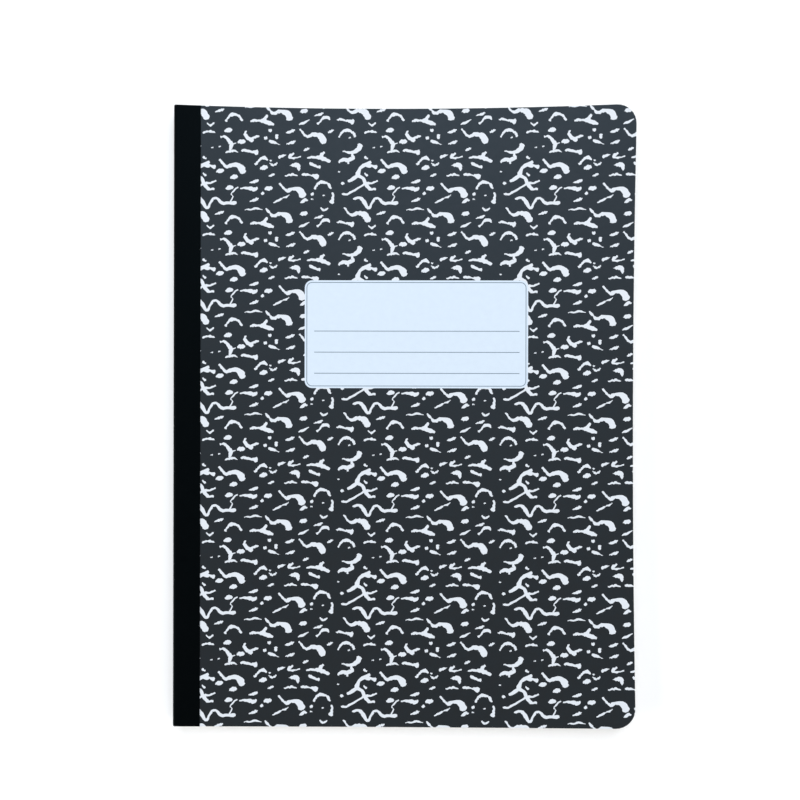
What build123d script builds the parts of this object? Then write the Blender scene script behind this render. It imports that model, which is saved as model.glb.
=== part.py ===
from build123d import *

import os

# Composition notebook: two board covers, a cloth spine tape and one sewn section of folded sheets.
# The book lies on its back cover, with the spine at -X, the head at +Y and the front cover up.
# The origin is under its middle, on the surface that it lies on. Every size is in millimetres.

# Driving dimensions
WIDTH = 184.0  # spine to fore edge
HEIGHT = 247.65  # tail to head, nine and three quarter inches
SHEETS = 50  # folded once, so a hundred leaves
PAPER = 0.08  # thickness of one leaf
BOARD = 0.8  # pressed board of a cover, under the tape
TAPE = 0.2  # cloth tape with its glue
TAPE_LAP = 10.9  # how far the tape reaches onto each cover, from the spine
TAPE_STEP = 0.15  # the board's bare face stands this far below the tape's face
SHOULDER = 1.2  # outer radius of the tape between the spine and a cover
FORE_RADIUS = 8.0  # trimmed corners at the fore edge
HEAD_BOW = 1.7  # the trimmed head dips this far between its corners
FORE_BOW = 1.0  # and the fore edge this far
SPINE_RADIUS = 0.8  # rubbed corners at the spine

# Shape of the folded sheets at the spine
FOLD_DEPTH = 2.4  # length of the rounding, along the cover
FOLD_RISE = 2.0  # height of the rounding at each side, which leaves a flat spine between them

# Curl of the front cover: how far its fore edge stands up
CURL_TAIL = 2.4
CURL_MIDDLE = 0.9
CURL_HEAD = 2.6

# Sewing along the fold, a lockstitch
THREAD = 0.36  # diameter of each thread
STITCHES = 26  # needle holes
END_MARGIN = 5.0  # from the first and last holes to the trimmed ends
THREAD_INSET = 0.5  # the cut ends of the threads lie this far inside the trimmed ends
HOLE = 1.0
TUNNEL = 0.5  # room for the bobbin thread in the innermost fold
GROOVE_DEPTH = 0.45  # the needle thread sinks this far into the outermost fold
GROOVE_WIDTH = 0.5
BEND_RADIUS = 0.25  # where a thread turns into a hole
LOOP_RADIUS = 0.2  # where it turns back inside the hole
LOOP_GAP = 0.02  # between the two threads' loops, which lock in the real seam

# Levels and places that follow from them
block_height = 2 * SHEETS * PAPER
total_height = block_height + 2 * (BOARD + TAPE)
block_bottom = TAPE + BOARD
block_top = block_bottom + block_height
middle_z = total_height / 2
bare_board = BOARD + TAPE - TAPE_STEP

spine_x = -WIDTH / 2
fore_x = WIDTH / 2
hinge_x = spine_x + SHOULDER
lap_x = spine_x + TAPE_LAP
block_x = spine_x + TAPE
cover_x = (hinge_x + fore_x) / 2
lap_middle_x = (hinge_x + lap_x) / 2

head_y = HEIGHT / 2
needle_x = block_x + GROOVE_DEPTH / 2
bobbin_x = block_x + SHEETS * PAPER
lock_x = (needle_x + bobbin_x) / 2
hole_span = HEIGHT - 2 * END_MARGIN
hole_places = [hole_span * (i / (STITCHES - 1) - 0.5) for i in range(STITCHES)]


def trimmed_outline():
    """The outline that all three knives leave, seen from above."""
    with BuildSketch() as outline:
        with BuildLine():
            ThreePointArc((spine_x, head_y), (0, head_y - HEAD_BOW), (fore_x, head_y))
            ThreePointArc((fore_x, head_y), (fore_x - FORE_BOW, 0), (fore_x, -head_y))
            Polyline((fore_x, -head_y), (spine_x, -head_y), (spine_x, head_y))
        make_face()
        fillet(outline.vertices().group_by(Axis.X)[-1], FORE_RADIUS)
        fillet(outline.vertices().group_by(Axis.X)[0], SPINE_RADIUS)
    return outline.sketch


def stitched_line(run_x, loop_x):
    """Long stitches at run_x, with a narrow loop in every hole that turns back at loop_x."""
    side = 1 if loop_x > run_x else -1
    turn_x = loop_x - side * LOOP_RADIUS
    start = (run_x, THREAD_INSET - head_y, middle_z)
    for y in hole_places:
        run = Line(start, (run_x, y - LOOP_RADIUS - BEND_RADIUS, middle_z))
        bend_in = JernArc(run @ 1, run % 1, BEND_RADIUS, -90 * side)
        leg_in = Line(bend_in @ 1, (turn_x, y - LOOP_RADIUS, middle_z))
        loop = JernArc(leg_in @ 1, leg_in % 1, LOOP_RADIUS, 180 * side)
        leg_out = Line(loop @ 1, (run_x + side * BEND_RADIUS, y + LOOP_RADIUS, middle_z))
        bend_out = JernArc(leg_out @ 1, leg_out % 1, BEND_RADIUS, -90 * side)
        start = bend_out @ 1
    Line(start, (run_x, head_y - THREAD_INSET, middle_z))


# Page block: fifty sheets folded together and sewn through the fold, as one solid.
with BuildPart() as page_block:
    with BuildSketch(Plane.XZ):
        with BuildLine():
            fold_x = block_x + FOLD_DEPTH
            upper = EllipticalCenterArc(
                (fold_x, block_top - FOLD_RISE), FOLD_DEPTH, FOLD_RISE, start_angle=90, arc_size=90
            )
            lower = EllipticalCenterArc(
                (fold_x, block_bottom + FOLD_RISE), FOLD_DEPTH, FOLD_RISE, start_angle=180, arc_size=90
            )
            Line(upper @ 1, lower @ 0)
            Polyline(upper @ 0, (fore_x, block_top), (fore_x, block_bottom), lower @ 1)
        make_face()
    extrude(amount=HEIGHT / 2, both=True)
    with BuildSketch():
        add(trimmed_outline())
    extrude(amount=total_height, mode=Mode.INTERSECT)
    with BuildSketch(Plane.XZ):
        with Locations((block_x + GROOVE_DEPTH / 2, middle_z)):
            Rectangle(GROOVE_DEPTH, GROOVE_WIDTH)
        with Locations((bobbin_x, middle_z)):
            Circle(TUNNEL / 2)
    extrude(amount=HEIGHT / 2, both=True, mode=Mode.SUBTRACT)
    with BuildSketch(Plane.YZ.offset(block_x)):
        with Locations([(y, middle_z) for y in hole_places]):
            Circle(HOLE / 2)
    extrude(amount=bobbin_x - block_x, mode=Mode.SUBTRACT)

# Needle thread: lies along the outermost fold, under the tape, and dips into every hole.
with BuildPart() as needle_thread:
    with BuildLine() as needle_line:
        stitched_line(needle_x, lock_x - THREAD / 2 - LOOP_GAP / 2)
    with BuildSketch(Plane(needle_line.line @ 0, z_dir=needle_line.line % 0)):
        Circle(THREAD / 2)
    sweep(path=needle_line.line)

# Bobbin thread: lies in the innermost fold, between the two middle leaves.
with BuildPart() as bobbin_thread:
    with BuildLine() as bobbin_line:
        stitched_line(bobbin_x, lock_x + THREAD / 2 + LOOP_GAP / 2)
    with BuildSketch(Plane(bobbin_line.line @ 0, z_dir=bobbin_line.line % 0)):
        Circle(THREAD / 2)
    sweep(path=bobbin_line.line)

# Spine tape: one strip of black cloth, glued round the spine and onto both covers. It bends at the
# two shoulders, so it is made as three lengths that meet at the hinge lines.
with BuildPart() as spine_tape_middle:
    with BuildSketch(Plane.XZ):
        with BuildLine():
            top_centre = (hinge_x, total_height - SHOULDER)
            bottom_centre = (hinge_x, SHOULDER)
            outer_top = CenterArc(top_centre, SHOULDER, 90, 90)
            outer_bottom = CenterArc(bottom_centre, SHOULDER, 180, 90)
            Line(outer_top @ 1, outer_bottom @ 0)
            inner_top = CenterArc(top_centre, SHOULDER - TAPE, 90, 90)
            inner_bottom = CenterArc(bottom_centre, SHOULDER - TAPE, 180, 90)
            Line(inner_top @ 1, inner_bottom @ 0)
            Line(outer_top @ 0, inner_top @ 0)
            Line(outer_bottom @ 1, inner_bottom @ 1)
        make_face()
    extrude(amount=HEIGHT / 2, both=True)
    with BuildSketch():
        add(trimmed_outline())
    extrude(amount=total_height, mode=Mode.INTERSECT)

with BuildPart() as spine_tape_front:
    with BuildSketch(Plane.XY.offset(total_height - TAPE)):
        with Locations((lap_middle_x, 0)):
            Rectangle(lap_x - hinge_x, HEIGHT)
        add(trimmed_outline(), mode=Mode.INTERSECT)
    extrude(amount=TAPE)

with BuildPart() as spine_tape_back:
    with BuildSketch():
        with Locations((lap_middle_x, 0)):
            Rectangle(lap_x - hinge_x, HEIGHT)
        add(trimmed_outline(), mode=Mode.INTERSECT)
    extrude(amount=TAPE)

# Back cover: flat, so that the book lies on it. It is pressed thinner under the tape.
with BuildPart() as back_cover:
    with BuildSketch(Plane.XY.offset(block_bottom)):
        with Locations((cover_x, 0)):
            Rectangle(fore_x - hinge_x, HEIGHT)
    extrude(amount=-bare_board)
    with BuildSketch():
        with Locations((lap_middle_x, 0)):
            Rectangle(lap_x - hinge_x, HEIGHT)
    extrude(amount=TAPE, mode=Mode.SUBTRACT)
    with BuildSketch():
        add(trimmed_outline())
    extrude(amount=block_bottom, mode=Mode.INTERSECT)

# Front cover: flat under the tape, then curling up towards the fore edge, most of all at the head.
# Its inner face is one smooth patch: the height grows with the square of the distance from the tape,
# and along the fore edge it follows a parabola through the three curl heights.
curl_control = 2 * CURL_MIDDLE - (CURL_TAIL + CURL_HEAD) / 2
patch = [
    [
        (lap_x, y, block_top),
        ((lap_x + fore_x) / 2, y, block_top),
        (fore_x, y, block_top + curl),
    ]
    for y, curl in ((-head_y, CURL_TAIL), (0, curl_control), (head_y, CURL_HEAD))
]
inner_face = Face.make_bezier_surface(patch)

with BuildPart() as front_cover:
    with BuildSketch(Plane.XY.offset(block_top)):
        with Locations((lap_middle_x, 0)):
            Rectangle(lap_x - hinge_x, HEIGHT)
    extrude(amount=BOARD)
    extrude(inner_face, amount=bare_board, dir=(0, 0, 1))
    with BuildSketch():
        add(trimmed_outline())
    extrude(amount=total_height + CURL_HEAD, mode=Mode.INTERSECT)

page_block.part.label = "page_block"
needle_thread.part.label = "needle_thread"
bobbin_thread.part.label = "bobbin_thread"
spine_tape_middle.part.label = "spine_tape_middle"
spine_tape_front.part.label = "spine_tape_front"
spine_tape_back.part.label = "spine_tape_back"
back_cover.part.label = "back_cover"
front_cover.part.label = "front_cover"

os.makedirs("parts", exist_ok=True)
export_step(page_block.part, "parts/page_block.step")
export_step(needle_thread.part, "parts/needle_thread.step")
export_step(bobbin_thread.part, "parts/bobbin_thread.step")
export_step(spine_tape_middle.part, "parts/spine_tape_middle.step")
export_step(spine_tape_front.part, "parts/spine_tape_front.step")
export_step(spine_tape_back.part, "parts/spine_tape_back.step")
export_step(back_cover.part, "parts/back_cover.step")
export_step(front_cover.part, "parts/front_cover.step")
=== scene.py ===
import math
import random

import bmesh
import bpy
from mathutils.geometry import delaunay_2d_cdt
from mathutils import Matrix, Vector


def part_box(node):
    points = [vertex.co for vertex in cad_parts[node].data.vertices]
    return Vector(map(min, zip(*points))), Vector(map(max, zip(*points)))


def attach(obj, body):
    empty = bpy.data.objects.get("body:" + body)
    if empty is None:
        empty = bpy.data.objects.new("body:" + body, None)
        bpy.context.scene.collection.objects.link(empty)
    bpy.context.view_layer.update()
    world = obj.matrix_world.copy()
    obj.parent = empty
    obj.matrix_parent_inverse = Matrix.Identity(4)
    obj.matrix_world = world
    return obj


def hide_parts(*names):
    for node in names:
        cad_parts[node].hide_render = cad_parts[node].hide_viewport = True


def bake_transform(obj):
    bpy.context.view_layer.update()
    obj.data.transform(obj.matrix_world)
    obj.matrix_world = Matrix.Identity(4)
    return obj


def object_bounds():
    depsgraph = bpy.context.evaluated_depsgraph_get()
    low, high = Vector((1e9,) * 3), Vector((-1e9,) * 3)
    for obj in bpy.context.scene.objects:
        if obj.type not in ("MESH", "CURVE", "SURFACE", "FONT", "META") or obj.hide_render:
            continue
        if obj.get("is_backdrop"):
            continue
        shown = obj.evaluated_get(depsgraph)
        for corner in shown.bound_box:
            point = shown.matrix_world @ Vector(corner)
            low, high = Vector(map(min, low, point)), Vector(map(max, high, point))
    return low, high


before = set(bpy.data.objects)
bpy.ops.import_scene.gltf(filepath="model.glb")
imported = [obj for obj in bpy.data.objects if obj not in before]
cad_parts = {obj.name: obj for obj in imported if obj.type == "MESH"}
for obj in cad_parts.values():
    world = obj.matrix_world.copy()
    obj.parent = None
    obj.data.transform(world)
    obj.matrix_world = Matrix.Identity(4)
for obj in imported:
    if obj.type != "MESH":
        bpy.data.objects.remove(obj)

MM = 0.001
cad_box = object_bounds()


# ---------------------------------------------------------------------------------------------
# Page block. Fifty sheets of thin white writing paper, folded once and nested in each other, so
# a hundred leaves. They are ruled with pale blue lines and a red margin, sewn through the fold,
# and trimmed on three sides with the covers, which leaves fine uneven edges.

(block_x, tail_y, block_bottom), (_, _, block_top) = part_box("page_block")
(hinge_x, _, _), (lap_x, _, tape_top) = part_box("spine_tape_front")
spine_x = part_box("spine_tape_middle")[0][0]
fore_x, head_y = -spine_x, -tail_y  # where the knives' lines meet, before the corners are rounded

SHEETS = 50
leaf_pitch = (block_top - block_bottom) / (2 * SHEETS)
LEAF_SHARE = 0.9  # of the pitch; the rest is air between the leaves
middle_z = (block_top + block_bottom) / 2

FORE_RADIUS = 8.0 * MM
SPINE_RADIUS = 0.8 * MM  # rubbed, not cut
HEAD_BOW = 1.7 * MM  # the trimmed head dips this far between its corners
FORE_BOW = 1.0 * MM  # and the fore edge this far

# The front cover has curled: its fore edge stands up at the tail, in the middle and at the head.
CURL_TAIL = 2.4 * MM
CURL_MIDDLE = 0.9 * MM
CURL_HEAD = 2.6 * MM


def curl(x, y):
    """How far the front cover stands up from the block: a parabola across it and along it."""
    along = y / head_y
    fore_edge = CURL_MIDDLE + along * (CURL_HEAD - CURL_TAIL) / 2
    fore_edge += along**2 * ((CURL_HEAD + CURL_TAIL) / 2 - CURL_MIDDLE)
    return fore_edge * max(0.0, (x - lap_x) / (fore_x - lap_x)) ** 2


def trimmed_place(x, y):
    """Where a point of the plain rectangle lies once the head and the fore edge have their bow."""
    fore_bow = FORE_BOW * (1 - (y / head_y) ** 2) * max(0.0, x / fore_x)
    head_bow = HEAD_BOW * (1 - (x / fore_x) ** 2) * (y - tail_y) / (head_y - tail_y)
    return x - fore_bow, y - head_bow


def linear(code):
    """An sRGB hex colour as the linear numbers that the shaders take."""
    parts = [int(code[i : i + 2], 16) / 255 for i in (0, 2, 4)]
    return (*[p / 12.92 if p <= 0.04045 else ((p + 0.055) / 1.055) ** 2.4 for p in parts], 1.0)


def add_node(tree, kind, settings=None, **inputs):
    """Adds a node with its settings. Each input is a value or the output that is linked to it."""
    node = tree.nodes.new(kind)
    for name, value in (settings or {}).items():
        setattr(node, name, value)
    for name, value in inputs.items():
        socket = node.inputs[int(name[1:])] if name[1:].isdigit() else node.inputs[name.replace("_", " ")]
        if isinstance(value, bpy.types.NodeSocket):
            tree.links.new(value, socket)
        else:
            socket.default_value = value
    return node


def new_material(name):
    """An empty material with its node tree and the piece's own coordinates."""
    material = bpy.data.materials.new(name)
    material.use_nodes = True
    material.node_tree.nodes.clear()
    tree = material.node_tree
    return material, tree, add_node(tree, "ShaderNodeTexCoord").outputs["Object"]


def finish_material(tree, shader):
    """Sends the shader to the material's output."""
    add_node(tree, "ShaderNodeOutputMaterial", Surface=shader.outputs[0])


def maths(tree, operation, a, b=0.0, c=0.0):
    """One step of arithmetic in a material."""
    return add_node(tree, "ShaderNodeMath", {"operation": operation}, _0=a, _1=b, _2=c).outputs[0]


def mix_colours(tree, factor, a, b):
    """The colour that lies this far from a to b."""
    return add_node(
        tree, "ShaderNodeMix", {"data_type": "RGBA"}, _0=factor, _6=a, _7=b
    ).outputs[2]


def pick(piece, test):
    """In edit mode, selects the points whose place passes the test, with what lies between them."""
    bpy.ops.mesh.select_all(action="DESELECT")
    mesh = bmesh.from_edit_mesh(piece.data)
    for point in mesh.verts:
        point.select = test(point.co)
    mesh.select_flush(True)
    bmesh.update_edit_mesh(piece.data)


def work_on(piece):
    """Makes this piece the only one that is selected."""
    bpy.ops.object.select_all(action="DESELECT")
    piece.select_set(True)
    bpy.context.view_layer.objects.active = piece


CUT_TOLERANCE = 0.0001 * MM  # closer than this, a cut uses the points that are there
FORE_CUTS = 7  # straight cuts round each trimmed corner
SPINE_CUTS = 3  # and round each rubbed corner


def round_corners(piece, edge_x, radius, cuts):
    """Rounds the two corners at this edge with straight cuts that touch the corner's circle."""
    work_on(piece)
    bpy.ops.object.mode_set(mode="EDIT")
    facing = math.copysign(1, edge_x)
    for side in (-1, 1):
        centre_x, centre_y = edge_x - facing * radius, side * (head_y - radius)
        for step in range(cuts):
            angle = math.radians(90) * (step + 0.5) / cuts
            normal = (facing * math.cos(angle), side * math.sin(angle), 0)
            place = (centre_x + radius * normal[0], centre_y + radius * normal[1], 0)
            bpy.ops.mesh.select_all(action="SELECT")
            bpy.ops.mesh.bisect(
                plane_co=place, plane_no=normal, clear_outer=True, threshold=CUT_TOLERANCE
            )
    bpy.ops.object.mode_set(mode="OBJECT")


def bow_edges(piece):
    """Gives a finished piece the same bow at the head and the fore edge as its neighbours."""
    for point in piece.data.vertices:
        point.co.x, point.co.y = trimmed_place(point.co.x, point.co.y)


LEAF_STEPS = 12  # across one leaf
FOLD_STEPS = 12  # round the fold
LENGTH_STEPS = 10  # from tail to head
FOLD_DEPTH = 0.6  # length of a fold's rounding, as a share of half the folded sheet's height
FOLD_RISE = 0.5  # and its height at each side, which leaves the middle of the fold flat
TRIM_SPREAD = 0.16 * MM  # how unevenly the fore edges lie
LIFTED_SHEETS = 24  # how many top leaves have taken on some of the cover's curl
LIFT_SHARE = 0.62  # of the cover's curl, on the first leaf
SHEET_CREASE = 40  # degrees; a sharper edge than this is shaded as an edge


def sheet_section(sheet, trim):
    """The line of one folded sheet, from its lower fore edge round the fold to the upper one.
    The folds are alike, each drawn smaller towards the innermost one."""
    half = (SHEETS - sheet - 0.5) * leaf_pitch
    centre_x = block_x + SHEETS * leaf_pitch
    depth, rise = FOLD_DEPTH * half, FOLD_RISE * half
    start_x = centre_x - half + depth
    line = []
    for step in range(LEAF_STEPS):
        line.append((trim + (start_x - trim) * step / LEAF_STEPS, -half))
    for step in range(FOLD_STEPS // 2 + 1):
        angle = math.radians(90) * step / (FOLD_STEPS // 2)
        line.append((start_x - depth * math.sin(angle), -half + rise * (1 - math.cos(angle))))
    return line + [(x, -z) for x, z in reversed(line)]


def folded_sheets():
    """A flat grid for each sheet, with its points laid round the fold and the rounded corners cut."""
    across = 2 * (LEAF_STEPS + FOLD_STEPS // 2) + 1
    bpy.ops.object.select_all(action="DESELECT")
    bpy.ops.mesh.primitive_grid_add(x_subdivisions=across, y_subdivisions=LENGTH_STEPS, size=1)
    flat = bpy.context.object
    chance = random.Random(4)
    sheets = []
    for sheet in range(SHEETS):
        piece = flat.copy()
        piece.data = flat.data.copy()
        bpy.context.collection.objects.link(piece)
        section = sheet_section(sheet, fore_x - TRIM_SPREAD * chance.random())
        share = LIFT_SHARE * max(0.0, 1 - sheet / LIFTED_SHEETS) ** 2
        for point in piece.data.vertices:
            x, z = section[round((point.co.x + 0.5) * across)]
            y = point.co.y * 2 * head_y
            lift = share * curl(x, y) if z > 0 else 0.0
            point.co = (x, y, middle_z + z + lift)
        tone = piece.data.attributes.new("leaf_tone", "FLOAT", "POINT")
        value = chance.random()
        for item in tone.data:
            item.value = value
        sheets.append(piece)
    bpy.data.objects.remove(flat)
    bpy.ops.object.select_all(action="DESELECT")
    for piece in sheets:
        piece.select_set(True)
    bpy.context.view_layer.objects.active = sheets[0]
    bpy.ops.object.join()
    block = bpy.context.object
    block.name = "ruled_sheets"
    round_corners(block, fore_x, FORE_RADIUS, FORE_CUTS)
    round_corners(block, spine_x, SPINE_RADIUS, SPINE_CUTS)
    bow_edges(block)
    work_on(block)
    thickness = block.modifiers.new("paper", "SOLIDIFY")
    thickness.thickness = LEAF_SHARE * leaf_pitch
    thickness.offset = 0
    bpy.ops.object.modifier_apply(modifier=thickness.name)
    bpy.ops.object.shade_smooth_by_angle(angle=math.radians(SHEET_CREASE))
    return block


def ruled_paper():
    """Uncoated wood-free writing paper, offset ruled: a soft dull white with faint fibre clouds.
    The rules are 8.7 mm apart, with a red margin line at the left of each page, so at the fold on
    a leaf's upper face and at the fore edge on its lower one. Each leaf has its own slight tone."""
    material, tree, place = new_material("ruled_writing_paper")
    RULE_PITCH = 8.73 * MM
    RULE_HALF = 0.16 * MM  # half of a printed line's width
    HEADER = 27.0 * MM  # from the head to the first rule
    FOOTER = 12.0 * MM  # from the last rule to the tail, at least
    MARGIN = 31.75 * MM
    INK_ON_FACE = 0.85
    INK_ON_EDGE = 0.22  # the cut edges show only the ends of the printed lines
    LEVEL = 0.5  # a face is the leaf's own, not its cut edge, when its normal rises more than this
    TONE_SHARE = 0.35  # how far the darkest leaf goes towards the duller colour
    x, y, _ = add_node(tree, "ShaderNodeSeparateXYZ", Vector=place).outputs
    first_rule = head_y - HEADER
    wave = maths(tree, "PINGPONG", maths(tree, "SUBTRACT", y, first_rule), RULE_PITCH / 2)
    on_rule = maths(tree, "LESS_THAN", wave, RULE_HALF)
    below = maths(tree, "LESS_THAN", y, first_rule + RULE_HALF)
    above = maths(tree, "GREATER_THAN", y, tail_y + FOOTER)
    ruled = maths(tree, "MULTIPLY", maths(tree, "MULTIPLY", on_rule, below), above)
    facing = add_node(tree, "ShaderNodeNewGeometry").outputs["True Normal"]
    _, _, upward = add_node(tree, "ShaderNodeSeparateXYZ", Vector=facing).outputs
    right_page = maths(tree, "GREATER_THAN", upward, 0.0)
    margin_right, margin_left = block_x + MARGIN, fore_x - MARGIN
    margin_x = maths(tree, "MULTIPLY_ADD", right_page, margin_right - margin_left, margin_left)
    on_margin = maths(tree, "COMPARE", x, margin_x, RULE_HALF)
    on_face = maths(tree, "GREATER_THAN", maths(tree, "ABSOLUTE", upward), LEVEL)
    ink = maths(tree, "MULTIPLY_ADD", on_face, INK_ON_FACE - INK_ON_EDGE, INK_ON_EDGE)
    fibre = add_node(
        tree, "ShaderNodeTexNoise", Vector=place, Scale=1 / (1.5 * MM), Detail=5.0, Roughness=0.6
    )
    tone = add_node(tree, "ShaderNodeAttribute", {"attribute_name": "leaf_tone"}).outputs["Fac"]
    clouds = mix_colours(tree, fibre.outputs["Fac"], linear("DCDAD3"), linear("E5E4DF"))
    dulling = maths(tree, "MULTIPLY", tone, TONE_SHARE)
    dulled = mix_colours(tree, dulling, clouds, linear("C4C1B7"))
    with_rules = mix_colours(tree, maths(tree, "MULTIPLY", ruled, ink), dulled, linear("7FA6D4"))
    inked = mix_colours(tree, maths(tree, "MULTIPLY", on_margin, ink), with_rules, linear("D8606C"))
    bump = add_node(
        tree, "ShaderNodeBump", Height=fibre.outputs["Fac"], Strength=0.15, Distance=0.03 * MM
    )
    shader = add_node(
        tree,
        "ShaderNodeBsdfPrincipled",
        Base_Color=inked,
        Roughness=0.85,
        IOR=1.45,
        Normal=bump.outputs["Normal"],
    )
    finish_material(tree, shader)
    return material


page_block = folded_sheets()
page_block.data.materials.append(ruled_paper())
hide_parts("page_block")
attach(page_block, "block")


# ---------------------------------------------------------------------------------------------
# Sewing thread. Two plies of white cotton in a lockstitch down the fold: the needle thread lies
# outside, under the tape, and the bobbin thread in the innermost fold.


def cotton_thread():
    """Twisted cotton thread, off-white and matt, with the slanting ridges of its plies."""
    material, tree, place = new_material("cotton_thread")
    PLY_PITCH = 0.5 * MM
    twist = add_node(
        tree,
        "ShaderNodeTexWave",
        {"bands_direction": "DIAGONAL"},
        Vector=place,
        Scale=math.pi / (10 * PLY_PITCH),
        Distortion=0.4,
    )
    colour = mix_colours(tree, twist.outputs["Fac"], linear("CFCBC0"), linear("F1EEE6"))
    bump = add_node(
        tree, "ShaderNodeBump", Height=twist.outputs["Fac"], Strength=0.6, Distance=0.05 * MM
    )
    shader = add_node(
        tree,
        "ShaderNodeBsdfPrincipled",
        Base_Color=colour,
        Roughness=0.8,
        IOR=1.5,
        Normal=bump.outputs["Normal"],
    )
    finish_material(tree, shader)
    return material


thread = cotton_thread()
for name in ("needle_thread", "bobbin_thread"):
    for slot in bpy.data.objects[name].material_slots:
        slot.link = "OBJECT"
        slot.material = thread


# ---------------------------------------------------------------------------------------------
# Covers. Pressed board, 0.85 mm thick, lined with plain white paper inside and faced outside with
# printed paper: a dark grey ground with white marbled marks that repeat every 64.4 by 40.8 mm. The
# front also has the printed name label: a white panel with a thin border and three writing rules.

BOARD = 0.85 * MM
TILE_WIDTH = 64.35  # mm, like every size of the print
TILE_HEIGHT = 40.8
TILE_CORNER = (-79.9, 9.8)  # upper left corner of one tile, from the middle of the cover
TILE_COLUMNS = range(-1, 3)  # the tiles that reach the cover, counted from that one
TILE_ROWS = range(-3, 4)

# The marks are brush-like strokes. A stroke is a list of (right, down, half width) in mm along its
# middle, and a mark is one or more strokes that run into each other.
WORM = [[(0, 0, 0.5), (1.5, 1.8, 0.5), (3.0, 2.9, 0.8), (4.9, 2.1, 0.85), (6.8, 2.2, 1.15),
         (8.5, 3.2, 1.6), (9.3, 5.0, 1.6)]]
ARCH = [[(0, 0, 0.6), (0.8, -1.2, 0.35), (1.5, -2.1, 0.65), (3.2, -2.7, 0.85), (4.7, -2.2, 0.5),
         (5.7, -1.5, 0.6), (6.4, -0.1, 0.5)]]
BONE = [[(0, 0, 0.45), (1.5, -0.3, 0.6), (3.2, -0.3, 0.5), (5.0, -0.2, 1.1), (6.8, 0.5, 1.0),
         (8.9, 1.3, 0.7)],
        [(5.1, -0.6, 0.9), (5.9, -1.6, 0.8), (6.6, -2.2, 0.65)]]
BOWTIE = [[(0, 0, 0.35), (1.5, -0.1, 0.6), (3.4, 0.3, 0.45), (4.7, 0.5, 0.75), (6.1, 0.8, 1.35)]]
HOOK = [[(0, 0, 0.65), (1.1, -1.3, 0.35), (2.0, -2.3, 0.65), (3.5, -2.7, 0.95), (4.8, -1.8, 0.3)]]
LEAF = [[(-1.8, 0.6, 0.15), (-0.5, 0.25, 0.55), (0.9, -0.25, 0.65), (1.7, -0.6, 0.3)]]
SEED = [[(-1.1, 0.4, 0.25), (-0.3, 0.15, 0.6), (0.6, -0.25, 0.55), (1.1, -0.5, 0.25)]]
FAT_SEED = [[(-1.4, 0.4, 0.35), (-0.4, 0.1, 1.1), (0.7, -0.1, 1.0), (1.4, -0.1, 0.5)]]
TICK = [[(-1.3, -0.5, 0.3), (-0.3, 0.4, 0.5), (0.5, 0.3, 0.4), (1.5, -0.5, 0.35)]]
MOUND = [[(0, 0, 0.3), (1.7, -0.4, 0.5), (3.1, -0.6, 0.55), (4.9, -0.1, 0.2)]]
DOT = [[(-0.35, 0.1, 0.7), (0.35, -0.1, 0.75)]]
SPECK = [[(-0.3, 0.05, 0.3), (0.35, -0.05, 0.35)]]

LONG_LEAF = [[(0, 0, 0.35), (1.8, -0.9, 0.6), (3.6, -1.8, 0.3), (5.0, -2.3, 0.5), (6.2, -3.0, 0.3)]]
LENS = [[(0, 0, 0.15), (2.2, -0.1, 0.35), (4.3, -0.5, 0.65), (6.9, 0, 0.2)]]
BLADE = [[(0, 0, 0.4), (1.9, -0.8, 0.65), (4.0, -1.8, 0.3)]]
RIVER = [[(0, 0, 0.45), (2.5, -0.4, 0.7), (4.3, 1.2, 0.85), (5.8, 3.7, 0.7), (7.1, 2.2, 0.6),
          (8.4, -0.1, 0.65), (10.3, 0, 0.65), (11.8, 1.6, 0.7), (14.8, 1.7, 0.65), (17.5, 1.6, 0.8)],
         [(15.2, 1.4, 0.5), (16.3, -0.9, 0.4), (15.8, -2.2, 0.35), (18.3, -4.7, 0.35)]]
BAR = [[(0, 0, 0.3), (2.1, -0.1, 0.5), (4.2, 0.1, 0.9), (5.6, 0.5, 1.0), (6.6, -0.4, 0.4)]]
CROOK = [[(0, 0, 0.4), (2.0, -0.1, 0.7), (3.5, 1.8, 0.9), (4.3, 3.0, 0.95), (3.8, 5.2, 0.5)],
         [(4.4, 2.8, 0.6), (6.1, 2.3, 0.2)]]
FORK = [[(0, 0, 0.35), (-0.7, 1.3, 0.75), (0.7, 2.9, 0.9), (1.9, 3.6, 0.95), (2.1, 4.2, 0.7)],
        [(1.8, 3.4, 0.8), (3.4, 2.3, 0.65), (5.0, 2.1, 0.25)]]
WEDGE = [[(0, 0, 0.6), (1.3, 0.5, 0.85), (2.7, 1.1, 0.35), (4.2, 1.6, 0.12)]]
SPEAR = [[(0, 0, 1.35), (-0.7, 1.5, 1.25), (-2.5, 2.6, 0.8), (-4.8, 2.8, 0.55), (-6.9, 2.4, 0.3)],
         [(-2.7, 2.6, 0.6), (-3.2, 4.0, 0.5), (-2.8, 5.0, 0.85), (-4.9, 6.0, 1.0), (-6.8, 5.8, 0.9),
          (-8.5, 6.8, 0.4)],
         [(-4.9, 6.2, 0.7), (-4.7, 7.3, 0.4)]]
FLASK = [[(0, 0, 0.35), (0.2, 1.5, 0.55), (-0.1, 2.9, 0.8), (-0.4, 3.8, 1.15)]]
CURLY = [[(0, 0, 0.55), (-1.7, 1.0, 0.75), (-1.2, 1.8, 0.5), (0.7, 1.7, 0.4), (2.7, 1.1, 0.4)]]
FLAG = [[(0, 0, 0.25), (1.6, -0.2, 0.9), (3.0, -0.2, 1.1), (3.4, 0.9, 0.85), (3.5, 2.0, 0.35)]]
TWIN = [[(0, 0, 0.5), (1.2, 0.5, 0.8), (2.6, 1.3, 0.5), (4.0, 1.4, 0.85)]]
CHAIN = [[(-0.6, -0.3, 0.7), (1.2, 0, 1.0), (2.6, 0.1, 0.55), (4.2, 0.5, 1.05)]]
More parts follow.
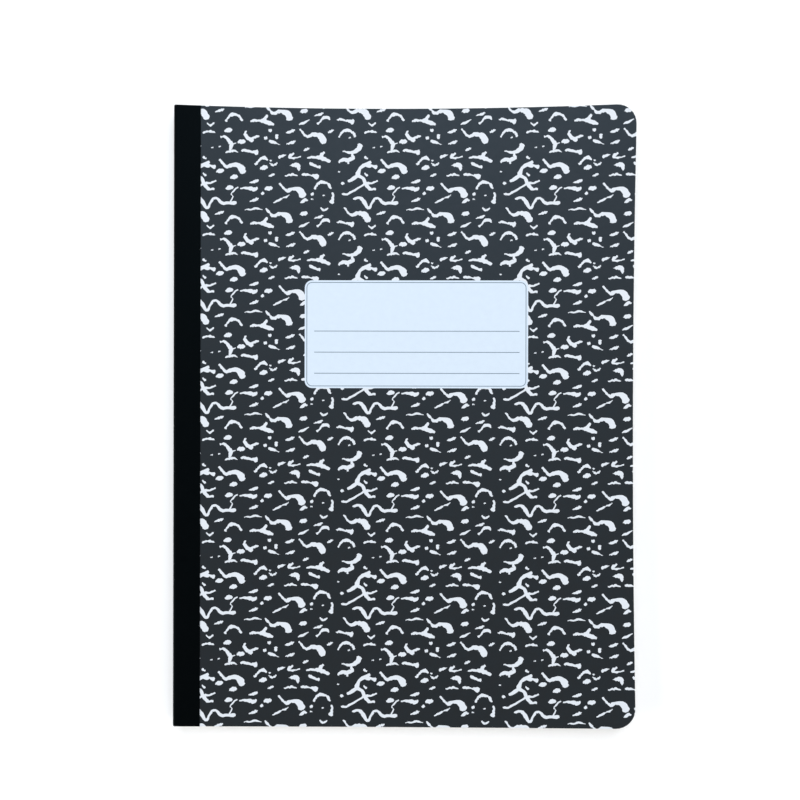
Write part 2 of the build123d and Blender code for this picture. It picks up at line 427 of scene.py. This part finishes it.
DROP = [[(0, 0, 0.6), (1.4, -0.4, 0.65), (2.9, -0.9, 0.2)]]
ROOT = [[(0, 0, 0.8), (-4.1, 2.4, 0.8), (-5.4, 5.6, 1.0), (-8.7, 7.6, 0.7)],
        [(-5.0, 5.2, 0.9), (-2.9, 6.5, 0.85), (-1.6, 8.8, 0.85), (-0.2, 10.7, 0.7), (2.1, 10.8, 0.5)],
        [(-1.5, 8.4, 0.6), (0.7, 8.5, 0.6), (2.9, 7.5, 0.3)],
        [(-1.8, 8.5, 0.6), (-4.0, 9.9, 0.45), (-7.3, 11.7, 0.6), (-9.2, 12.9, 0.6), (-11.1, 12.7, 0.5)]]

TILE_MARKS = [
    (WORM, [(30.2, -1.0), (24.9, 9.0), (56.0, 8.7), (38.3, 18.2), (6.3, 30.3)]),
    (ARCH, [(8.8, 14.9), (53.8, 21.2), (44.2, 41.8)]),
    (BONE, [(18.7, 15.0), (41.3, 29.6)]),
    (BOWTIE, [(53.1, 14.4), (15.0, 26.7), (39.1, 36.2)]),
    (HOOK, [(45.4, 16.1), (20.6, 32.2)]),
    (LEAF, [(20.1, 5.5), (6.2, 10.7), (45.8, 12.3), (34.5, 19.0), (34.7, 23.5), (20.0, 39.0)]),
    (SEED, [(50.6, 19.0), (27.0, 36.5), (40.9, 26.2)]),
    (FAT_SEED, [(15.0, 23.1), (12.0, 37.2), (10.2, 41.4), (39.8, 10.9), (9.7, 18.6), (23.9, 33.5),
                (25.8, 41.7), (6.4, 34.7)]),
    (TICK, [(47.9, 9.2), (2.6, 16.2), (27.7, 32.1)]),
    (MOUND, [(-0.4, 19.6), (8.7, 27.4), (32.4, 36.8)]),
    (DOT, [(26.4, 18.6), (24.6, 21.7), (23.4, 3.0), (43.2, 3.2), (55.3, 39.7)]),
    (SPECK, [(43.1, 5.2), (47.7, 3.7), (3.3, 25.5), (6.3, 25.1), (26.6, 30.6), (53.8, 35.1),
             (58.1, 21.6)]),
    (LONG_LEAF, [(27.8, 6.6)]),
    (LENS, [(16.4, 9.4)]),
    (BLADE, [(38.0, 16.3)]),
    (RIVER, [(59.6, 5.1)]),
    (BAR, [(14.6, 0.9)]),
    (CROOK, [(6.7, 21.3)]),
    (FORK, [(17.0, 18.9)]),
    (WEDGE, [(26.2, 22.7)]),
    (SPEAR, [(62.3, 24.5)]),
    (FLASK, [(51.3, 2.6)]),
    (CURLY, [(35.8, 27.9)]),
    (FLAG, [(34.3, 32.6)]),
    (TWIN, [(42.2, 31.7)]),
    (CHAIN, [(0.0, 32.7)]),
    (DROP, [(29.9, 29.3)]),
    (ROOT, [(66.3, 31.2)]),
    ([[(0, 0, 0.75), (0, 1.3, 0.7)]], [(29.0, 20.5)]),
    ([[(0, 0, 0.45), (1.6, -1.0, 0.8), (2.8, -0.9, 0.25)]], [(38.6, 6.6)]),
    ([[(0, 0, 0.65), (1.2, 0.4, 0.3)]], [(64.1, 29.4)]),
    ([[(0, 0, 0.3), (1.0, 1.0, 0.55)]], [(-0.2, 35.6)]),
]

CURVE_STEPS = 3  # from one point of a stroke to the next
CAP_STEPS = 2  # round a stroke's end
CAP_DEPTH = 0.6  # of a round end, so that the ends are blunt
INK_WIDTH = 0.81  # of each stroke's drawn width
RAGGED = 0.21  # mm, how far a stroke's edge wanders
FINEST = 0.15  # mm, the least half width of a stroke


def between(a, b, c, d, share):
    """A smooth curve from b to c that heads from a and on to d, for one number."""
    return 0.5 * (
        2 * b
        + (c - a) * share
        + (2 * a - 5 * b + 4 * c - d) * share**2
        + (3 * b - a - 3 * c + d) * share**3
    )


def stroke_outline(stroke, chance):
    """The ragged edge of a stroke, as a closed line of points in mm, right and down."""
    ends = [stroke[0], *stroke, stroke[-1]]
    middle = []
    for i in range(len(stroke) - 1):
        for step in range(CURVE_STEPS):
            four = ends[i : i + 4]
            middle.append([between(*numbers, step / CURVE_STEPS) for numbers in zip(*four)])
    middle.append(stroke[-1])
    left_side, right_side, caps = [], [], []
    for i, (x, y, half) in enumerate(middle):
        before, after = middle[max(i - 1, 0)], middle[min(i + 1, len(middle) - 1)]
        heading = math.atan2(after[1] - before[1], after[0] - before[0])
        half = INK_WIDTH * max(half, FINEST)
        left = half + RAGGED * (2 * chance.random() - 1)
        right = half + RAGGED * (2 * chance.random() - 1)
        left_side.append((x - left * math.sin(heading), y + left * math.cos(heading)))
        right_side.append((x + right * math.sin(heading), y - right * math.cos(heading)))
        if i in (0, len(middle) - 1):
            ahead = CAP_DEPTH if i else -CAP_DEPTH
            cap = []
            for step in range(CAP_STEPS):
                turn = math.pi * (0.5 - (step + 1) / (CAP_STEPS + 1))
                reach = half * (1 + RAGGED * (2 * chance.random() - 1))
                along, aside = ahead * reach * math.cos(turn), reach * math.sin(turn)
                cap.append(
                    (
                        x + along * math.cos(heading) - aside * math.sin(heading),
                        y + along * math.sin(heading) + aside * math.cos(heading),
                    )
                )
            caps.append(cap)
    first_cap, last_cap = caps
    return left_side + last_cap + right_side[::-1] + first_cap[::-1]


def marbled_marks():
    """Every stroke of the print over the whole cover, a tile at a time, anticlockwise."""
    chance = random.Random(11)
    tile = []
    for mark, places in TILE_MARKS:
        for right, down in places:
            for stroke in mark:
                tile.append([(right + x, -down - y) for x, y in stroke_outline(stroke, chance)])
    corner_x, corner_y = TILE_CORNER
    for column in TILE_COLUMNS:
        for row in TILE_ROWS:
            x, y = corner_x + column * TILE_WIDTH, corner_y - row * TILE_HEIGHT
            for line in tile:
                yield [(x + right, y + up) for right, up in line]


PANEL_STEPS = 5  # round each corner of the label


def rounded_panel(low, high, radius):
    """A rectangle with round corners, anticlockwise, in mm."""
    line = []
    for corner, (side_x, side_y) in enumerate(((1, 1), (-1, 1), (-1, -1), (1, -1))):
        centre_x = (high[0] if side_x > 0 else low[0]) - side_x * radius
        centre_y = (high[1] if side_y > 0 else low[1]) - side_y * radius
        for step in range(PANEL_STEPS + 1):
            angle = math.radians(90) * (corner + step / PANEL_STEPS)
            line.append((centre_x + radius * math.cos(angle), centre_y + radius * math.sin(angle)))
    return line


GROUND, MARK, PANEL, RULE, LINER, EDGE = range(6)  # the places of the cover's materials

# The label, in mm from the middle of the cover
LABEL_LOW, LABEL_HIGH = (-39.6, 11.0), (49.3, 53.9)
LABEL_RADIUS = 2.9
BORDER_INSET = 0.7
BORDER_WIDTH = 0.3
RULE_LEFT, RULE_RIGHT = -35.8, 45.9
RULE_HEIGHTS = (33.7, 25.3, 16.9)
RULE_WIDTH = 0.3


def inset_label(inset):
    """The label's outline, drawn this far inside its edge."""
    low = [v + inset for v in LABEL_LOW]
    high = [v - inset for v in LABEL_HIGH]
    return rounded_panel(low, high, LABEL_RADIUS - inset)


def label_print():
    """The name label, from the bottom up: the panel, its border, the panel inside it, the rules."""
    yield PANEL, rounded_panel(LABEL_LOW, LABEL_HIGH, LABEL_RADIUS)
    yield RULE, inset_label(BORDER_INSET)
    yield PANEL, inset_label(BORDER_INSET + BORDER_WIDTH)
    for height in RULE_HEIGHTS:
        low, high = height - RULE_WIDTH / 2, height + RULE_WIDTH / 2
        yield RULE, [(RULE_LEFT, low), (RULE_RIGHT, low), (RULE_RIGHT, high), (RULE_LEFT, high)]


EDGE_STEP = 6.0 * MM  # between points along the board's straight edges
CORNER_STEPS = 8
GRID_STEP = 12.0  # mm, between the points that let the board bend
GRID_SHIFT = (0.31, 0.27)  # of a step, which keeps these points off the label's straight lines
SAME_POINT = 1e-5  # mm, points closer than this are one
BOARD_CREASE = 30  # degrees; a sharper edge than this is shaded as an edge
UPRIGHT = 0.5  # a face of the board is a cut edge when its normal rises less than this


def board_outline():
    """The trimmed board seen from above, anticlockwise and in mm: square at the hinge, with round
    corners at the fore edge."""
    loop = [(hinge_x, tail_y)]
    for side in (-1, 1):
        for step in range(CORNER_STEPS + 1):
            angle = math.radians(90) * (step / CORNER_STEPS - (side < 0))
            loop.append(
                (
                    fore_x - FORE_RADIUS * (1 - math.cos(angle)),
                    side * (head_y - FORE_RADIUS) + FORE_RADIUS * math.sin(angle),
                )
            )
    loop.append((hinge_x, head_y))
    line = []
    for a, b in zip(loop, loop[1:] + loop[:1]):
        pieces = max(1, round(math.dist(a, b) / EDGE_STEP))
        for step in range(pieces):
            share = step / pieces
            x, y = trimmed_place(a[0] + (b[0] - a[0]) * share, a[1] + (b[1] - a[1]) * share)
            line.append((x / MM, y / MM))
    return line


def printed_face(name, label):
    """The outer face of a board, cut along the edge of every mark, so that each field of colour is
    made of faces of its own. No operator cuts a face along drawn lines, so it is triangulated."""
    outline = board_outline()
    shapes = [(GROUND, outline)]
    inside_x = (hinge_x / MM - 1, fore_x / MM + 1)
    inside_y = head_y / MM + 1
    for line in marbled_marks():
        if any(inside_x[0] < x < inside_x[1] and abs(y) < inside_y for x, y in line):
            shapes.append((MARK, line))
    if label:
        shapes += label_print()
    points, faces = [], []
    for _, line in shapes:
        faces.append(list(range(len(points), len(points) + len(line))))
        points += line
    columns = int((fore_x - hinge_x) / MM / GRID_STEP)
    rows = int(2 * head_y / MM / GRID_STEP)
    for i in range(1, columns):
        for j in range(1, rows):
            x = hinge_x / MM + (i + GRID_SHIFT[0]) * GRID_STEP
            y = tail_y / MM + (j + GRID_SHIFT[1]) * GRID_STEP
            points.append((x, y))
    found = delaunay_2d_cdt([tuple(p) for p in points], [], faces, 0, SAME_POINT, True)
    flat_points, triangles, owners = found[0], found[2], found[5]
    kept, kinds = [], []
    for triangle, owner in zip(triangles, owners):
        if 0 in owner:
            kept.append(triangle)
            kinds.append(shapes[max(owner)][0])  # the shape that was drawn last lies on top
    mesh = bpy.data.meshes.new(name)
    mesh.from_pydata([(p[0] * MM, p[1] * MM, 0.0) for p in flat_points], [], kept)
    mesh.polygons.foreach_set("material_index", kinds)
    face = bpy.data.objects.new(name, mesh)
    bpy.context.collection.objects.link(face)
    return face


def pressed_board(name, label, height, curled, thickness):
    """A board: the printed face is set at its height and curl, then extruded to the liner's face."""
    board = printed_face(name, label)
    for point in board.data.vertices:
        lift = curl(point.co.x, point.co.y) if curled else 0.0
        point.co.z = height + lift
    work_on(board)
    bpy.ops.object.mode_set(mode="EDIT")
    bpy.ops.mesh.select_all(action="SELECT")
    bpy.ops.mesh.delete_loose()
    bpy.ops.mesh.select_all(action="SELECT")
    bpy.ops.mesh.extrude_region_move(TRANSFORM_OT_translate={"value": (0, 0, thickness)})
    bpy.ops.mesh.select_all(action="SELECT")
    bpy.ops.mesh.normals_make_consistent(inside=False)
    bpy.ops.object.mode_set(mode="OBJECT")
    outward = -1 if thickness > 0 else 1
    for face in board.data.polygons:
        if abs(face.normal.z) < UPRIGHT:
            face.material_index = EDGE
        elif face.normal.z * outward < 0:
            face.material_index = LINER
    bpy.ops.object.shade_smooth_by_angle(angle=math.radians(BOARD_CREASE))
    return board


def printed_paper(name, shade_a, shade_b, gloss_level, gloss_colour):
    """Coated paper printed in one flat colour and varnished: smooth, with a low satin gloss and
    the faint waviness of the board below. The dark ink's gloss is a cool blue."""
    material, tree, place = new_material(name)
    mottle = add_node(
        tree, "ShaderNodeTexNoise", Vector=place, Scale=1 / (2.5 * MM), Detail=4.0, Roughness=0.6
    )
    ripple = add_node(
        tree, "ShaderNodeTexNoise", Vector=place, Scale=1 / (9.0 * MM), Detail=2.0, Roughness=0.5
    )
    colour = mix_colours(tree, mottle.outputs["Fac"], linear(shade_a), linear(shade_b))
    gloss = add_node(
        tree,
        "ShaderNodeMapRange",
        Value=mottle.outputs["Fac"],
        To_Min=0.39,
        To_Max=0.51,
    )
    coarse = add_node(
        tree, "ShaderNodeBump", Height=ripple.outputs["Fac"], Strength=0.2, Distance=0.1 * MM
    )
    fine = add_node(
        tree,
        "ShaderNodeBump",
        Height=mottle.outputs["Fac"],
        Strength=0.2,
        Distance=0.02 * MM,
        Normal=coarse.outputs["Normal"],
    )
    shader = add_node(
        tree,
        "ShaderNodeBsdfPrincipled",
        Base_Color=colour,
        Roughness=gloss.outputs["Result"],
        IOR=1.48,
        Specular_IOR_Level=gloss_level,
        Specular_Tint=linear(gloss_colour),
        Normal=fine.outputs["Normal"],
    )
    finish_material(tree, shader)
    return material


def liner_paper():
    """Plain uncoated white paper pasted inside the board: dull, with faint fibre clouds."""
    material, tree, place = new_material("liner_paper")
    fibre = add_node(
        tree, "ShaderNodeTexNoise", Vector=place, Scale=1 / (2.0 * MM), Detail=6.0, Roughness=0.65
    )
    colour = mix_colours(tree, fibre.outputs["Fac"], linear("D8D6CF"), linear("E1E0DA"))
    bump = add_node(
        tree, "ShaderNodeBump", Height=fibre.outputs["Fac"], Strength=0.2, Distance=0.04 * MM
    )
    shader = add_node(
        tree,
        "ShaderNodeBsdfPrincipled",
        Base_Color=colour,
        Roughness=0.8,
        IOR=1.45,
        Normal=bump.outputs["Normal"],
    )
    finish_material(tree, shader)
    return material


def cut_board():
    """The guillotined edge of grey pressed board: layered fibres, rough and quite matt."""
    material, tree, place = new_material("cut_pressed_board")
    stretched = add_node(
        tree, "ShaderNodeMapping", Vector=place, Scale=(1.0, 1.0, 9.0)
    ).outputs["Vector"]
    layers = add_node(
        tree, "ShaderNodeTexNoise", Vector=stretched, Scale=1 / (1.2 * MM), Detail=4.0, Roughness=0.6
    )
    colour = mix_colours(tree, layers.outputs["Fac"], linear("8E8B85"), linear("C9C7C1"))
    bump = add_node(
        tree, "ShaderNodeBump", Height=layers.outputs["Fac"], Strength=0.4, Distance=0.06 * MM
    )
    shader = add_node(
        tree,
        "ShaderNodeBsdfPrincipled",
        Base_Color=colour,
        Roughness=0.9,
        IOR=1.45,
        Normal=bump.outputs["Normal"],
    )
    finish_material(tree, shader)
    return material


cover_materials = [
    printed_paper("printed_ground", "1E1C1A", "1A1D1E", 0.35, "C5E3FF"),
    printed_paper("printed_mark", "D2D8DF", "DADFE6", 0.2, "FFFFFF"),
    printed_paper("printed_panel", "C9D6E4", "D0DEEC", 0.2, "FFFFFF"),
    printed_paper("printed_rule", "6C7C8B", "778694", 0.2, "FFFFFF"),
    liner_paper(),
    cut_board(),
]
front_cover = pressed_board("front_board", True, block_top + BOARD, True, -BOARD)
back_cover = pressed_board("back_board", False, block_bottom - BOARD, False, BOARD)
for cover, node, body in ((front_cover, "front_cover", "front"), (back_cover, "back_cover", "back")):
    for material in cover_materials:
        cover.data.materials.append(material)
    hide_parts(node)
    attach(cover, body)


# ---------------------------------------------------------------------------------------------
# Spine tape. One strip of black bookbinding cloth, glued round the spine and onto both covers
# after sewing, then trimmed with the book. It hinges where it leaves the shoulders of the spine.
# It is drawn as two halves, each from the middle of the spine to its cover.

TAPE = 0.2 * MM
SHOULDER = 1.2 * MM
SHOULDER_STEPS = 8
LENGTH_PARTS = 208  # from tail to head, so that the stitches can show
LAP_CUTS = (0.02, 0.06, 0.12, 0.3)  # shares of the lap where the cloth may bend
SPINE_PARTS = (0.4, 0.25, 0.12, 0.1, 0.07, 0.06)  # shares of the way from a shoulder to mid-spine
TAPE_CUTS = 5  # round each rubbed corner
TAPE_CREASE = 40  # degrees; a sharper edge than this is shaded as an edge
ON_LINE = 0.001 * MM  # closer than this, a point lies on the line
WELD = 0.01 * MM  # points closer than this are joined
spine_reach = tape_top / 2 - SHOULDER  # from mid-spine to a shoulder

RIDGE = 0.08 * MM  # how far the stitches show through the cloth
RIDGE_HALF = 0.45 * MM  # half of the width of the line that they make
HOLE_HALF = 0.9 * MM  # half of the gap in it at each needle hole
NEEDLE_HOLES = 26
END_MARGIN = 5.0 * MM  # from the first and last holes to the trimmed ends
hole_pitch = (2 * head_y - 2 * END_MARGIN) / (NEEDLE_HOLES - 1)


def spine_hollow(y, across):
    """How far the cloth sinks between the stitches, which hold it out along mid-spine. The middle
    of the spine is at across 0 and its shoulders are at -1 and 1."""
    from_hole = abs(y % hole_pitch - hole_pitch / 2)
    stitch = 1 - math.exp(-((from_hole / HOLE_HALF) ** 2))
    ridge = stitch * math.exp(-((across * spine_reach / RIDGE_HALF) ** 2))
    return RIDGE * (1 - ridge) * (1 - across**6)


def round_rims(tape):
    """Lays both faces of the cloth on one circle at each rubbed corner, so that the tape ends
    flush with the sheets inside it."""
    corner_y = head_y - SPINE_RADIUS
    for point in tape.data.vertices:
        inward = spine_x + SPINE_RADIUS - point.co.x
        if inward > 0 and abs(point.co.y) > corner_y:
            aside = math.sqrt(SPINE_RADIUS**2 - min(inward, SPINE_RADIUS) ** 2)
            point.co.y = math.copysign(corner_y + aside, point.co.y)


def tape_half(name, side):
    """Half of the tape: a strip on the cover, spun round the shoulder and drawn to mid-spine."""
    face_z = tape_top if side > 0 else 0.0
    bpy.ops.object.select_all(action="DESELECT")
    bpy.ops.mesh.primitive_grid_add(
        x_subdivisions=1,
        y_subdivisions=LENGTH_PARTS,
        size=1,
        location=((hinge_x + lap_x) / 2, 0, face_z),
    )
    tape = bpy.context.object
    tape.name = name
    tape.scale = (lap_x - hinge_x, 2 * head_y, 1)
    bpy.ops.object.transform_apply(location=True, rotation=True, scale=True)
    bpy.ops.object.mode_set(mode="EDIT")
    for share in LAP_CUTS:
        bpy.ops.mesh.select_all(action="SELECT")
        bpy.ops.mesh.bisect(
            plane_co=(hinge_x + share * (lap_x - hinge_x), 0, 0),
            plane_no=(1, 0, 0),
            threshold=CUT_TOLERANCE,
        )
    pick(tape, lambda place: place.x < hinge_x + ON_LINE)
    bpy.ops.mesh.spin(
        steps=SHOULDER_STEPS,
        angle=math.radians(90),
        center=(hinge_x, 0, face_z - side * SHOULDER),
        axis=(0, side, 0),
    )
    pick(tape, lambda place: abs(place.z - face_z) > SHOULDER - ON_LINE)
    for part in SPINE_PARTS:
        bpy.ops.mesh.extrude_region_move(
            TRANSFORM_OT_translate={"value": (0, 0, -side * spine_reach * part)}
        )
    bpy.ops.mesh.select_all(action="SELECT")
    bpy.ops.mesh.remove_doubles(threshold=WELD)
    bpy.ops.mesh.normals_make_consistent(inside=False)
    bpy.ops.object.mode_set(mode="OBJECT")
    lap = max(tape.data.polygons, key=lambda face: face.center.x)
    if lap.normal.z * side < 0:
        tape.data.flip_normals()
    round_corners(tape, spine_x, SPINE_RADIUS, TAPE_CUTS)
    thickness = tape.modifiers.new("cloth", "SOLIDIFY")
    thickness.thickness = TAPE
    thickness.offset = -1
    bpy.ops.object.modifier_apply(modifier=thickness.name)
    round_rims(tape)
    bow_edges(tape)
    for point in tape.data.vertices:
        if point.co.x < spine_x + ON_LINE:
            point.co.x += spine_hollow(point.co.y, (point.co.z - middle_z) / spine_reach)
    bpy.ops.object.shade_smooth_by_angle(angle=math.radians(TAPE_CREASE))
    return tape


def binding_cloth():
    """Coated binding cloth: a fine plain weave filled with black size, so it is deep black with a
    low sheen and barely shows its threads. The weave is 0.45 mm, a little coarser than real."""
    material, tree, place = new_material("black_binding_cloth")
    THREAD_PITCH = 0.45 * MM
    x, y, z = add_node(tree, "ShaderNodeSeparateXYZ", Vector=place).outputs
    turn = 2 * math.pi / THREAD_PITCH
    round_book = maths(tree, "ADD", x, z)
    warp = maths(tree, "SINE", maths(tree, "MULTIPLY", y, turn))
    weft = maths(tree, "SINE", maths(tree, "MULTIPLY", round_book, turn))
    weave = maths(tree, "MULTIPLY", warp, weft)
    wear = add_node(
        tree, "ShaderNodeTexNoise", Vector=place, Scale=1 / (4.0 * MM), Detail=5.0, Roughness=0.65
    )
    colour = mix_colours(tree, wear.outputs["Fac"], linear("000101"), linear("020303"))
    gloss = add_node(
        tree, "ShaderNodeMapRange", Value=wear.outputs["Fac"], To_Min=0.36, To_Max=0.5
    )
    bump = add_node(tree, "ShaderNodeBump", Height=weave, Strength=0.25, Distance=0.03 * MM)
    shader = add_node(
        tree,
        "ShaderNodeBsdfPrincipled",
        Base_Color=colour,
        Roughness=gloss.outputs["Result"],
        IOR=1.45,
        Specular_IOR_Level=0.045,
        Specular_Tint=linear("BCE4FF"),
        Sheen_Weight=0.05,
        Sheen_Roughness=0.4,
        Normal=bump.outputs["Normal"],
    )
    finish_material(tree, shader)
    return material


cloth = binding_cloth()
for side, name, body, node in (
    (1, "spine_tape_upper", "front", "spine_tape_front"),
    (-1, "spine_tape_lower", "back", "spine_tape_back"),
):
    tape = tape_half(name, side)
    tape.data.materials.append(cloth)
    if side > 0:
        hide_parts(node, "spine_tape_middle")
    else:
        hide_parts(node)
    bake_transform(tape)


# ---------------------------------------------------------------------------------------------
# Where it lies: a plain white table, wide soft light with most of it from the head side, and a
# camera straight above the front cover.

TABLE = 3.0  # metres
bpy.ops.object.select_all(action="DESELECT")
bpy.ops.mesh.primitive_plane_add(size=TABLE, location=(0, 0, 0))
floor = bpy.context.object
floor.name = "table"
white, tree, _ = new_material("white_table")
finish_material(
    tree, add_node(tree, "ShaderNodeBsdfPrincipled", Base_Color=linear("FCFCFC"), Roughness=0.9)
)
floor.data.materials.append(white)
floor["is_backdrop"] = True


def soft_light(name, place, size, power, colour):
    """A square soft box at this place, turned towards the notebook."""
    lamp = bpy.data.lights.new(name, "AREA")
    lamp.size = size
    lamp.energy = power
    lamp.color = linear(colour)[:3]
    box = bpy.data.objects.new(name, lamp)
    box.location = place
    box.rotation_euler = (-box.location).to_track_quat("-Z", "Y").to_euler()
    bpy.context.collection.objects.link(box)


soft_light("head_light", place=(0.08, 0.9, 1.6), size=1.3, power=21.5, colour="F3F9FF")
soft_light("spine_light", place=(-1.5, -0.1, 0.9), size=1.0, power=12.5, colour="FFFFFF")
soft_light("fore_light", place=(1.5, -0.2, 0.9), size=1.0, power=5.5, colour="FFFFFF")
soft_light("tail_light", place=(0.1, -1.5, 0.9), size=1.0, power=4.3, colour="FFFBF8")

world = bpy.data.worlds.new("room")
world.use_nodes = True
room = world.node_tree.nodes["Background"]
room.inputs["Color"].default_value = linear("FFFFFF")
room.inputs["Strength"].default_value = 0.41
bpy.context.scene.world = world

CAMERA_PLACE = (-0.0016, 0.0063)  # metres from the middle of the cover, seen from above
CAMERA_HEIGHT = 0.40  # over the tape's face
VIEW_WIDTH = 0.3185  # at that face
CAMERA_ROLL = 0.11  # degrees
lens = bpy.data.cameras.new("camera")
lens.lens = lens.sensor_width * CAMERA_HEIGHT / VIEW_WIDTH
camera = bpy.data.objects.new("camera", lens)
camera.location = (*CAMERA_PLACE, tape_top + CAMERA_HEIGHT)
camera.rotation_euler = (0, 0, math.radians(CAMERA_ROLL))
bpy.context.collection.objects.link(camera)
bpy.context.scene.camera = camera
bpy.context.scene.view_settings.view_transform = "Standard"

[[list(corner) for corner in box] for box in (cad_box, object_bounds())]
